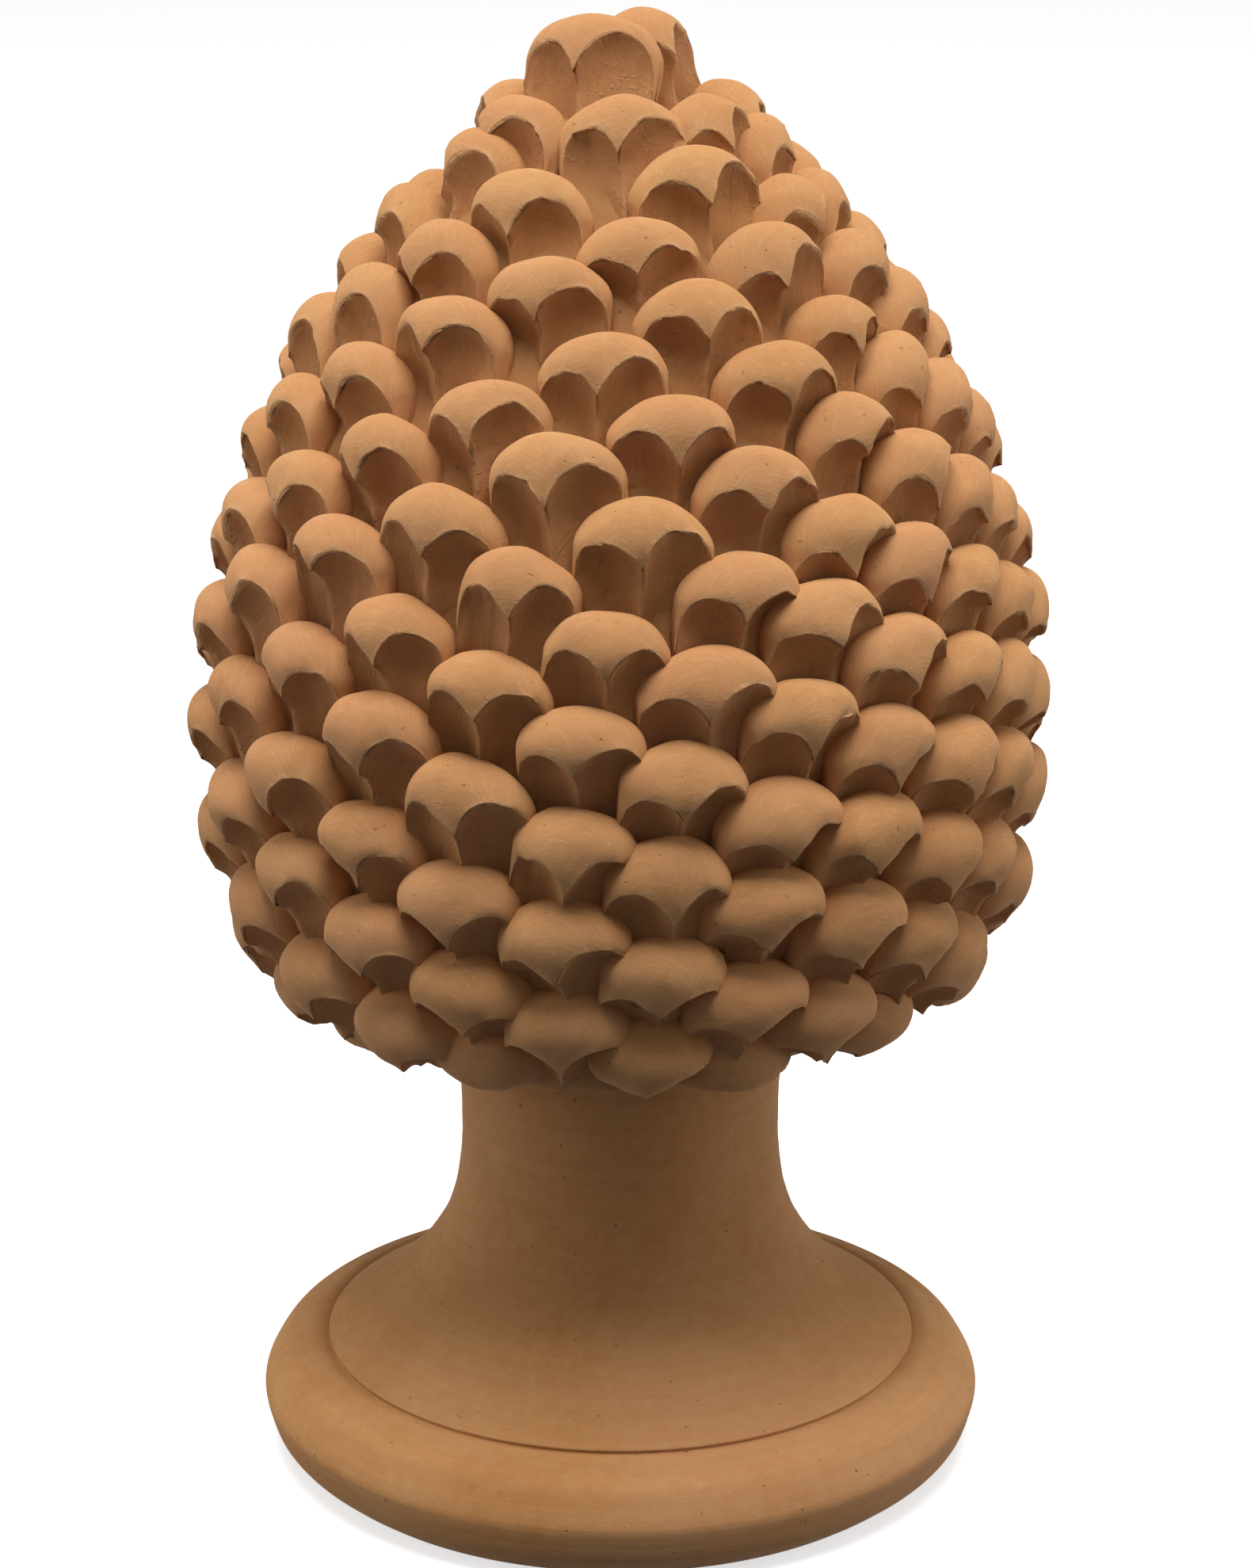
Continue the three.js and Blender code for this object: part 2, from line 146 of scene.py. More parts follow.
def foot_profile():
    """Closed outline of the foot's wall as radius and height, from the middle of the ceiling down the inside,
    across the flat ring, round the rim, over the ledge and up the neck to the axis again."""
    inner_z = np.array(HOLLOW_HEIGHTS)
    inner = np.stack([foot_radius(inner_z + HOLLOW_LAG) - WALL * 0.9, inner_z], 1)
    bend = np.linspace(0, 1, 12)[:, None]
    ceiling = np.array([[0, CAVITY_HEIGHT], [9, CAVITY_HEIGHT - 0.6],
                        [CEILING_RADIUS, CAVITY_HEIGHT - CEILING_DROP]])
    shoulder = ceiling[-1] + (inner[0] - ceiling[-1]) * bend
    shoulder[:, 0] += HOLLOW_SHOULDER * np.sin(np.pi * bend[:, 0])
    ring = np.array([[STAND_INNER_RADIUS + 0.8, 3], [STAND_INNER_RADIUS, 0.9],
                     [STAND_INNER_RADIUS + 0.9, 0], [STAND_INNER_RADIUS + 6, 0],
                     [STAND_OUTER_RADIUS - 3, 0], [STAND_OUTER_RADIUS, 0]])
    angle = np.radians(np.linspace(*RIM_ARC, 44))
    swell = RIM_ROUND + 0.34 * np.cos(3.2 * (angle - 0.24)) + 0.16 * np.cos(9 * (angle - 0.1))
    rim = np.stack([RIM_RADIUS + swell * np.cos(angle), RIM_ROUND + swell * np.sin(angle)], 1)
    rim = rim[(rim[:, 0] > LEDGE_RADIUS + 1.2) & (rim[:, 1] > 0.25)]
    low = LEDGE_HEIGHT - LEDGE_STEP
    ledge = np.array([[LEDGE_RADIUS + 0.95, low - 0.1], [LEDGE_RADIUS + 0.5, low - 0.45],
                      [LEDGE_RADIUS + 0.05, low - 0.5], [LEDGE_RADIUS - 0.35, low - 0.1],
                      [LEDGE_RADIUS - 0.3, low + 0.25], [LEDGE_RADIUS + 0.1, LEDGE_HEIGHT - 0.22]])
    sweep_z = LEDGE_HEIGHT + (WAIST_HEIGHT - LEDGE_HEIGHT) * np.linspace(0.006, 1, 64) ** 1.5
    neck_z = np.linspace(WAIST_HEIGHT, NECK_TOP_HEIGHT + NECK_SINK, 20)[1:]
    outer_z = np.concatenate([sweep_z, neck_z])
    outer = np.stack([foot_radius(outer_z), outer_z], 1)
    cap = np.array([[20, NECK_TOP_HEIGHT + NECK_SINK], [0, NECK_TOP_HEIGHT + NECK_SINK]])
    return np.concatenate([ceiling[:-1], shoulder, inner[1:], ring, rim, ledge, outer, cap])


def turned_faces(rows, n):
    """Quads between the rings of a turned surface, and a fan of triangles at each end to a point on the axis.
    The two points on the axis follow the rings. Returns the flat list and the corners of each face."""
    grid = np.arange(rows * n).reshape(rows, n)
    here, there = grid[:-1], grid[1:]
    quads = np.stack([here, np.roll(here, -1, 1), np.roll(there, -1, 1), there], -1).reshape(-1, 4)
    first = np.stack([np.full(n, rows * n), np.roll(grid[0], -1), grid[0]], -1)
    last = np.stack([np.full(n, rows * n + 1), grid[-1], np.roll(grid[-1], -1)], -1)
    faces = np.concatenate([quads.ravel(), first.ravel(), last.ravel()])
    return faces, np.concatenate([np.full(len(quads), 4), np.full(2 * n, 3)])


def turned_foot():
    """The profile carried round the axis: point = (r sin turn, -r cos turn, z). Fine rings and a slow wobble
    move the radius, and three hand marks are added: a lump on the sweep, a rough place on the ledge and a
    nick in the rim."""
    profile = foot_profile()
    along = np.concatenate([[0], np.cumsum(np.hypot(*np.diff(profile, axis=0).T))])
    turn = np.linspace(0, 2 * np.pi, FOOT_SEGMENTS, endpoint=False)
    r, z = (profile[1:-1, i][:, None] for i in (0, 1))
    path = along[1:-1][:, None] + 0 * turn
    ring_place = np.stack([np.sin(turn) * 0.8 + 0 * r, -np.cos(turn) * 0.8 + 0 * r, path], -1)
    rings = 0.05 * value_noise(ring_place, 1.3, 3) + 0.1 * value_noise(ring_place, 4.5, 4)
    wobble = 0.25 * np.sin(2 * turn + 0.7) + 0.15 * np.sin(3 * turn + 2.1)
    free = np.clip(z / 6, 0, 1) * np.clip((CAVITY_HEIGHT + 20 - z) / 20, 0, 1)
    r = r + (rings + wobble * np.clip(r / RIM_RADIUS, 0, 1)) * free
    x, y = r * np.sin(turn), -r * np.cos(turn)
    z = z + 0 * turn
    outside = np.arange(len(profile) - 2)[:, None] > len(profile) / 2
    lump = np.hypot(x - LUMP_PLACE[0], y - LUMP_PLACE[1])
    lump = lump + 1.3 * value_noise(np.stack([x, y, z], -1), 1.4, 5)
    z = z + LUMP_HEIGHT * np.clip(1.6 - lump / 2.1, 0, 1) * outside
    torn = np.exp(-((turn - ROUGH_LEDGE_TURN) / 0.13) ** 2) * value_noise(np.stack([x, y, z], -1), 1.1, 6)
    on_ledge = np.abs(r - LEDGE_RADIUS) < 0.7
    z = z + ROUGH_LEDGE_HEIGHT * torn * on_ledge * outside
    nick = np.sqrt((x - NICK_PLACE[0]) ** 2 + (y - NICK_PLACE[1]) ** 2 + (z - NICK_PLACE[2]) ** 2)
    x = x * (1 - NICK_DEPTH * np.clip(1 - nick / 2.4, 0, 1) * outside / NICK_PLACE[0])
    body = np.stack([x, y, z], -1).reshape(-1, 3)
    points = np.concatenate([body, [[0, 0, profile[0, 1]], [0, 0, profile[-1, 1]]]])
    rows = len(profile) - 2
    faces, sizes = turned_faces(rows, FOOT_SEGMENTS)
    length = np.concatenate([path.ravel(), [0, along[-1]]])
    uv = np.stack([np.concatenate([np.tile(turn, rows), [0, 0]]) * 9, length * 0.1], -1)
    return clay_piece("thrown_foot", points, faces, sizes, {"along": length}, uv)


def wire(tree, kind, settings=None, **inputs):
    """Adds one node to a tree. Each input is a value, or a socket that is linked to it."""
    node = tree.nodes.new(kind)
    for key, value in (settings or {}).items():
        setattr(node, key, value)
    for key, value in inputs.items():
        socket = node.inputs[int(key[1:])] if key[0] == "i" and key[1:].isdigit() else node.inputs[key]
        if isinstance(value, bpy.types.NodeSocket):
            tree.links.new(value, socket)
        else:
            socket.default_value = value
    return node


def add(tree, first, second):
    """Sum of two numbers or sockets."""
    return wire(tree, "ShaderNodeMath", {"operation": "ADD"}, i0=first, i1=second).outputs[0]


def less(tree, first, second):
    """The first number or socket less the second."""
    return wire(tree, "ShaderNodeMath", {"operation": "SUBTRACT"}, i0=first, i1=second).outputs[0]


def times(tree, first, second):
    """Product of two numbers or sockets."""
    return wire(tree, "ShaderNodeMath", {"operation": "MULTIPLY"}, i0=first, i1=second).outputs[0]


def blend_colour(tree, share, first, second):
    """Colour between two colours or sockets."""
    node = wire(tree, "ShaderNodeMix", {"data_type": "RGBA"}, i0=share, i6=first, i7=second)
    return node.outputs[2]


def between(tree, value, low, high):
    """0 below low, 1 above high, and a straight line between them."""
    limits = {"From Min": low, "From Max": high}
    return wire(tree, "ShaderNodeMapRange", {"clamp": True}, Value=value, **limits).outputs[0]


def cloud(tree, place, scale, detail, rough=0.5):
    """Noise from 0 to 1 over the given place."""
    node = wire(tree, "ShaderNodeTexNoise", None, Vector=place, Scale=scale, Detail=detail, Roughness=rough)
    return node.outputs[0]


WIPED_CLAY = (0.62, 0.318, 0.122, 1)
WARM_CLAY = (0.54, 0.248, 0.078, 1)
BLUSH_CLAY = (0.60, 0.288, 0.128, 1)
PALE_GRIT = (0.76, 0.50, 0.27, 1)
# Colour of the dark pits in the clay, also used as painted shade in the gaps between the scales and on the
# cone's body.
DARK_PIT_AND_SHADE = (0.20, 0.085, 0.028, 1)


def fired_clay(name):
    """A dry, matt material with the clay's drifting tone, grit and pits. Returns it with its tree, its
    shader, its object place, its colour so far and its fine grain height, for a piece to finish."""
    material = bpy.data.materials.new(name)
    material.use_nodes = True
    tree = material.node_tree
    shader = tree.nodes["Principled BSDF"]
    shader.inputs["Roughness"].default_value = 0.88
    shader.inputs["Specular IOR Level"].default_value = 0.22
    shader.inputs["Diffuse Roughness"].default_value = 0.5
    place = wire(tree, "ShaderNodeTexCoord").outputs["Object"]
    drift = between(tree, cloud(tree, place, 22, 3, 0.55), 0.36, 0.66)
    blush = between(tree, cloud(tree, place, 9, 2, 0.55), 0.5, 0.72)
    colour = blend_colour(tree, drift, WARM_CLAY, WIPED_CLAY)
    colour = blend_colour(tree, times(tree, blush, 0.6), colour, BLUSH_CLAY)
    mottle = between(tree, cloud(tree, place, 260, 4, 0.65), 0.35, 0.75)
    colour = blend_colour(tree, mottle, colour, blend_colour(tree, 0.22, colour, PALE_GRIT))
    grit = between(tree, cloud(tree, place, 1150, 2, 0.5), 0.70, 0.76)
    colour = blend_colour(tree, times(tree, grit, 0.55), colour, PALE_GRIT)
    pits = between(tree, cloud(tree, place, 620, 1, 0.4), 0.238, 0.2)
    colour = blend_colour(tree, times(tree, pits, 0.6), colour, DARK_PIT_AND_SHADE)
    grain = cloud(tree, place, 1700, 4, 0.7)
    grain = less(tree, grain, times(tree, pits, 1.6))
    return material, tree, shader, place, colour, grain


def finish_clay(tree, shader, colour, height, depth):
    """Joins the colour to the shader, and the height as a bump of the given depth in metres."""
    bump = wire(tree, "ShaderNodeBump", None, Strength=1.0, Distance=depth, Height=height)
    tree.links.new(colour, shader.inputs["Base Color"])
    tree.links.new(bump.outputs[0], shader.inputs["Normal"])


foot = turned_foot()
foot_clay, tree, shader, place, colour, grain = fired_clay("turned_terracotta")
along = wire(tree, "ShaderNodeAttribute", {"attribute_name": "along"}).outputs["Fac"]
apart = wire(tree, "ShaderNodeSeparateXYZ", None, Vector=place)
spin_x, spin_y = (times(tree, apart.outputs[i], 14) for i in (0, 1))
spin = wire(tree, "ShaderNodeCombineXYZ", None, X=spin_x, Y=spin_y, Z=times(tree, along, 0.55)).outputs[0]
fine_rings = cloud(tree, spin, 1.0, 5, 0.72)
broad_rings = cloud(tree, spin, 0.28, 2)
rings = add(tree, times(tree, fine_rings, 1.4), broad_rings)
shaded = blend_colour(tree, 0.12, colour, DARK_PIT_AND_SHADE)
colour = blend_colour(tree, between(tree, fine_rings, 0.3, 0.7), shaded, colour)
finish_clay(tree, shader, colour, add(tree, rings, times(tree, grain, 0.55)), 0.00014)
foot.data.materials.append(foot_clay)
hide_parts("pinecone_finial")

# Closed body of the cone
# The thrown egg of clay that the scales were pressed on. It shows only as the dark bottom of the gaps between
# them and as the underside round the top of the neck. Its clay colour is darkened all over as painted shade.
ENVELOPE_RADIUS = 100.2
EQUATOR_HEIGHT = 186
UPPER_HEIGHT = 166
LOWER_HEIGHT = 74
UPPER_FULLNESS = 0.9
LOWER_FULLNESS = 0.13
CORE_DEPTH = 13
CORE_TOP_DROP = 27
CORE_TOP_RADIUS = 6
CORE_SEGMENTS = 128
CORE_STEPS = 90


def envelope_radius(z):
    """Radius through the outermost points of the scales: the greatest radius times one less the square of the
    distance from the equator, as a share of the height above or below it, to the power of the fullness."""
    upper = np.asarray(z) > EQUATOR_HEIGHT
    t = np.abs(z - EQUATOR_HEIGHT) / np.where(upper, UPPER_HEIGHT, LOWER_HEIGHT)
    fullness = np.where(upper, UPPER_FULLNESS, LOWER_FULLNESS)
    return ENVELOPE_RADIUS * np.clip(1 - t * t, 0, None) ** fullness


def cone_body():
    """An egg that lies a core depth inside the envelope, closed on the axis at both ends."""
    bottom = NECK_TOP_HEIGHT
    top = EQUATOR_HEIGHT + UPPER_HEIGHT - CORE_TOP_DROP
    z = bottom + (top - bottom) * np.linspace(0, 1, CORE_STEPS)[:, None]
    r = np.maximum(CORE_TOP_RADIUS, envelope_radius(z) - CORE_DEPTH)
    turn = np.linspace(0, 2 * np.pi, CORE_SEGMENTS, endpoint=False)
    body = np.stack([r * np.sin(turn), -r * np.cos(turn), z + 0 * turn], -1)
    body += 0.6 * value_noise(body, 7, 11)[..., None] * np.array([1, 1, 0])
    points = np.concatenate([body.reshape(-1, 3), [[0, 0, bottom], [0, 0, top]]])
    faces, sizes = turned_faces(CORE_STEPS, CORE_SEGMENTS)
    return clay_piece("cone_body", points, faces, sizes, {}, points[:, :2] * 0.1)


body = cone_body()
body_clay, tree, shader, place, colour, grain = fired_clay("body_terracotta_painted_shade")
# Painted shade: the body's clay is darkened almost halfway to the dark pit colour, for the shade at the
# bottom of the gaps between the scales.
colour = blend_colour(tree, 0.45, colour, DARK_PIT_AND_SHADE)
finish_clay(tree, shader, colour, grain, 0.00012)
body.data.materials.append(body_clay)
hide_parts("pinecone_finial")

# Scales
# Thumb-sized pegs of clay pressed on in rows of twelve, each row half a step round from the one above, with a
# ring of seven, one filler and a last pair at the tip. A round tool gouged each peg twice below its domed
# end, which left a sharp arris, and the pegs round the neck were pressed nearly flat underneath.
FIRST_ROW = -8
LAST_ROW = 10
SCALES_PER_ROW = 12
MIDDLE_ROW_AREA = 56300
ROW_AREA = 6760
ROW_AREA_GROWTH = 55
MIDDLE_ROW_TURN = -1.1
COLUMN_LEAN = -2.0
COLUMN_CURL = 0.13
SPREAD = 3.3
SPREAD_PER_ROW = -0.93
ROW_TILT = 0.16
ROW_TILT_PER_ROW = 0.178
TILT_FADE_ROW = 11.6
LEAST_ROW_AREA = 7000
TIP_RING = {"area": 4500, "turns": (-57, 2, 48, 110, 165, -155, -105)}
TIP_FILLER = {"area": 6100, "turn": 86}
TIP_PAIR = {"area": 700, "turns": (-50, 130), "facing": (-15, 55)}

SCALE_HALF_WIDTH = 14.3
SCALE_HALF_THICKNESS = 9.5
END_LENGTH = 12
ROOT_LENGTH = 18
BACK_ROOT_LENGTH = 10
SEAT_DEPTH = 9.5
FRONT_SLOPE = 0.2
SCALE_ELEVATION = 60
LEAN_SHARE = 0.67
TIP_ELEVATION = 101
RIGHT_SCOOP = {"across": 9, "radius": 11, "top": 10}
LEFT_SCOOP = {"across": -9.7, "radius": 11, "top": 7}
SCOOP_HEIGHT = 12.4
SCOOP_STRETCH = 1.35
BELLY_ROW = 2
BELLY_DROP = 0.6
UNDERSIDE_HEIGHT = 118
UNDERSIDE_PRESS = 0.3
SIZE_SPREAD = 0.05
TWIST_SPREAD = 5
ELEVATION_SPREAD = 4
TURN_SPREAD = 0.7
RISE_SPREAD = 1.2
SIDE_ROUNDING = 0.985
BACK_BEND = -0.95
BACK_THICKNESS_SHARE = 0.6
BEAK_REACH = 6
HIGHEST_BEAK = 9
LOWEST_BEAK = -14
STEP_CROWDING = 1.35
DOME_STEPS = 19
SCOOP_STEPS = 18
SIDE_COLUMNS = 17


def vary(row, column, feature):
    """Repeatable value from -1 to 1 for a scale and a feature: the fraction of a large multiple of a sine."""
    s = np.sin(row * 12.9898 + column * 37.719 + feature * 78.233) * 43758.5453
    return 2 * (s - np.floor(s)) - 1


def envelope_walk():
    """Radius, height, surface area so far and lean of the surface, at even steps down the envelope."""
    z = np.linspace(EQUATOR_HEIGHT + UPPER_HEIGHT, EQUATOR_HEIGHT - 0.985 * LOWER_HEIGHT, 2001)
    r = envelope_radius(z)
    band = np.pi * (r[1:] + r[:-1]) * np.hypot(np.diff(r), np.diff(z))
    lean = np.degrees(np.arctan2(-np.diff(z), -np.diff(r)))
    return r, z, np.concatenate([[0], np.cumsum(band)]), np.concatenate([lean[:1], lean])


def scale_seats():
    """Row, column, turn, facing, radius, height and lean of every scale. A row has a set area of envelope
    above it, and tilts and spreads by the sine of its turn, as the hand-set rows do. Where a tilted row would
    crowd the tip it stops, and a ring of scales, one filler and the last pair close it."""
    row = np.repeat(np.arange(FIRST_ROW, LAST_ROW + 1), SCALES_PER_ROW)
    column = 2 * (np.arange(row.size) % SCALES_PER_ROW) + np.abs(row % 2)
    even = MIDDLE_ROW_TURN + COLUMN_LEAN * row + COLUMN_CURL * row ** 2 + 180 / SCALES_PER_ROW * column
    side = np.sin(np.radians(even))
    fade = np.clip(1 - (row / TILT_FADE_ROW) ** 4, 0, None)
    tilted = row - (ROW_TILT + ROW_TILT_PER_ROW * row) * fade * side
    area = MIDDLE_ROW_AREA + ROW_AREA * tilted + ROW_AREA_GROWTH * tilted ** 2
    turn = even + (SPREAD + SPREAD_PER_ROW * row) * side
    kept = area > LEAST_ROW_AREA
    ring_turn, count = TIP_RING["turns"], len(TIP_RING["turns"]) + 3
    tip_turn = [*ring_turn, TIP_FILLER["turn"], *TIP_PAIR["turns"]]
    tip_area = [TIP_RING["area"]] * len(ring_turn) + [TIP_FILLER["area"]] + [TIP_PAIR["area"]] * 2
    facing = np.concatenate([turn[kept], ring_turn, [TIP_FILLER["turn"]], TIP_PAIR["facing"]])
    row = np.concatenate([row[kept], np.full(count, FIRST_ROW - 1)])
    column = np.concatenate([column[kept], np.arange(count)])
    area = np.concatenate([area[kept], tip_area])
    turn = np.concatenate([turn[kept], tip_turn])
    walk_r, walk_z, walk_area, walk_lean = envelope_walk()
    area = np.clip(area, walk_area[1], walk_area[-1])
    r, z, lean = (np.interp(area, walk_area, w) for w in (walk_r, walk_z, walk_lean))
    r = r - SEAT_DEPTH * np.sin(np.radians(lean))
    z = z + SEAT_DEPTH * np.cos(np.radians(lean)) + RISE_SPREAD * vary(row, column, 1)
    stray = TURN_SPREAD * vary(row, column, 2)
    return row, column, turn + stray, facing + stray, r, z, lean


def scoop_section(scoop, b):
    """Square of a scoop's half width in the scale's middle plane: the square of its radius, less the square
    of how far the place lies past the start of its rounded, stretched upper end."""
    past = np.clip(scoop["radius"] - (scoop["top"] - b) / SCOOP_STRETCH, 0, None)
    return scoop["radius"] ** 2 - past ** 2


def scoop_surface(right, left, a, b):
    """Height of the gouged surface over the middle plane, the lower of the two scoops' round bottoms, and
    infinite where no scoop reaches."""
    floors = []
    for scoop in (right, left):
        room = scoop_section(scoop, b) - (a - scoop["across"]) ** 2
        bottom = SCOOP_HEIGHT - FRONT_SLOPE * b - np.sqrt(np.clip(room, 0, None))
        floors.append(np.where(room > 0, bottom, np.inf))
    return np.minimum(*floors)


def thumb_front(a, b):
    """Height of the uncut thumb: an ellipse over the domed end and a plane, slightly flared, below it."""
    rounding = np.sqrt(np.clip(1 - (SIDE_ROUNDING * a / SCALE_HALF_WIDTH) ** 2, 0.02, 1))
    thick, tall = SCALE_HALF_THICKNESS * rounding, END_LENGTH * rounding
    return np.where(b > 0, thick * np.sqrt(np.clip(1 - (b / tall) ** 2, 0, 1)), thick - FRONT_SLOPE * b)


def ridge_across(right, left, b):
    """Where the two scoops meet: the line on which both round bottoms are equally deep."""
    gap = right["across"] - left["across"]
    shift = scoop_section(left, b) - scoop_section(right, b)
    return (shift + right["across"] ** 2 - left["across"] ** 2) / (2 * gap)


def scale_grids(row, column, lean):
    """Across, along and forward places on a grid for every scale, with the shares of scoop, arris and depth.
    Rows run over the back, the dome, the arris and down the scoops. Columns run across, closer towards the
    sides by a sine, with one of them on the ridge between the scoops. Each column crosses from dome to scoop
    where the uncut thumb first stands higher than the scoops."""
    count = len(row)
    cell = (count, 1, 1)
    root = (ROOT_LENGTH * np.clip((lean - 15) / 75, 0.4, 1)).reshape(cell)

    def spread(feature, most):
        return most * vary(row, column, feature).reshape(cell)

    drop = BELLY_DROP * np.clip(row - BELLY_ROW, 0, None).reshape(cell)
    right = {"across": RIGHT_SCOOP["across"] + spread(6, 0.9),
             "radius": RIGHT_SCOOP["radius"] + spread(7, 0.5),
             "top": RIGHT_SCOOP["top"] - drop + spread(8, 1.3)}
    left = {"across": LEFT_SCOOP["across"] + spread(9, 0.9),
            "radius": LEFT_SCOOP["radius"] + spread(10, 0.6),
            "top": LEFT_SCOOP["top"] - drop + spread(11, 1.5)}

    down = np.linspace(HIGHEST_BEAK, LOWEST_BEAK, 231).reshape(1, 1, -1)
    line = ridge_across(right, left, down)
    below = thumb_front(line, down) >= scoop_surface(right, left, line, down)
    first = np.argmax(below, 2)[:, :, None]
    beak = np.where(below.any(2)[:, :, None], down[0, 0, first], LOWEST_BEAK)
    beak_across = np.clip(ridge_across(right, left, beak), -BEAK_REACH, BEAK_REACH)

    side = np.concatenate([[0.03], np.linspace(0, 1, SIDE_COLUMNS + 1)[1:]])
    side = np.sin(np.pi / 2 * side)
    side = np.concatenate([-side[::-1], [0], side]).reshape(1, -1, 1)
    edge = np.where(side < 0, -SCALE_HALF_WIDTH, SCALE_HALF_WIDTH)
    a = beak_across + (edge - beak_across) * np.abs(side)
    rounding = np.sqrt(1 - (SIDE_ROUNDING * a / SCALE_HALF_WIDTH) ** 2)
    thick, tall = SCALE_HALF_THICKNESS * rounding, END_LENGTH * rounding

    def front(t):
        bend = np.clip(t, None, 1) * np.pi / 2
        b = np.where(t < 1, tall * np.cos(bend), -(t - 1) * root)
        return b, np.where(t < 1, thick * np.sin(bend), thick - FRONT_SLOPE * b)

    t = np.linspace(0, 1.5, 301).reshape(1, 1, -1)
    b, f = front(t)
    over = f - np.minimum(scoop_surface(right, left, a, b), 1e3)
    cut = over >= 0
    k = np.where(cut.any(2), np.argmax(cut, 2), t.size - 1)[:, :, None]
    before = np.take_along_axis(over, np.maximum(k - 1, 0), 2)
    after = np.take_along_axis(over, k, 2)
    share = np.where((k > 0) & (after > 0) & (before < 0), before / (before - after - 1e-9), 1)
    share = np.clip(np.where(before < -100, 1, share), 0, 1)
    edge_t = t[0, 0, np.maximum(k - 1, 0)] + share * (t[0, 0, 1] - t[0, 0, 0])

    steps = np.linspace(0, 1, DOME_STEPS)
    steps = np.concatenate([steps[:-1], [0.988, 1.0]]).reshape(1, 1, -1)
    dome_b, dome_f = front(BACK_BEND + (edge_t - BACK_BEND) * steps)
    edge_b = front(edge_t)[0]

    fall = np.linspace(0, 1, SCOOP_STEPS + 1)[1:] ** STEP_CROWDING
    fall = np.concatenate([[0.02], fall]).reshape(1, 1, -1)
    scoop_b = edge_b - (edge_b + root) * fall
    ridge_b = beak - (beak + root) * fall
    shift = np.clip(ridge_across(right, left, ridge_b), -BEAK_REACH, BEAK_REACH) - beak_across
    scoop_a = a + shift * (1 - np.abs(side) ** 1.5)
    scoop_f = np.minimum(scoop_surface(right, left, scoop_a, scoop_b), thumb_front(scoop_a, scoop_b))

    all_a = np.concatenate([a, a + 0 * dome_b, scoop_a], 2)
    all_b = np.concatenate([-BACK_ROOT_LENGTH + 0 * a, dome_b, scoop_b], 2)
    all_f = np.concatenate([-BACK_THICKNESS_SHARE * thick, dome_f, scoop_f], 2)
    n_dome = dome_b.shape[2] + 1
    scooped, arris = np.zeros(all_a.shape), np.zeros(all_a.shape)
    scooped[:, :, n_dome:] = 1
    arris[:, :, n_dome - 3:n_dome + 2] = (0.4, 0.8, 1.0, 0.8, 0.3)
    arris[:, SIDE_COLUMNS + 1, n_dome:] = 0.8
    # Share of the way down the root into the gaps between the scales. The material uses it for painted shade
    # there.
    deep = np.clip((-all_b - 4) / (root + 1), 0, 1)
    return all_a, all_b, all_f, scooped, arris, deep


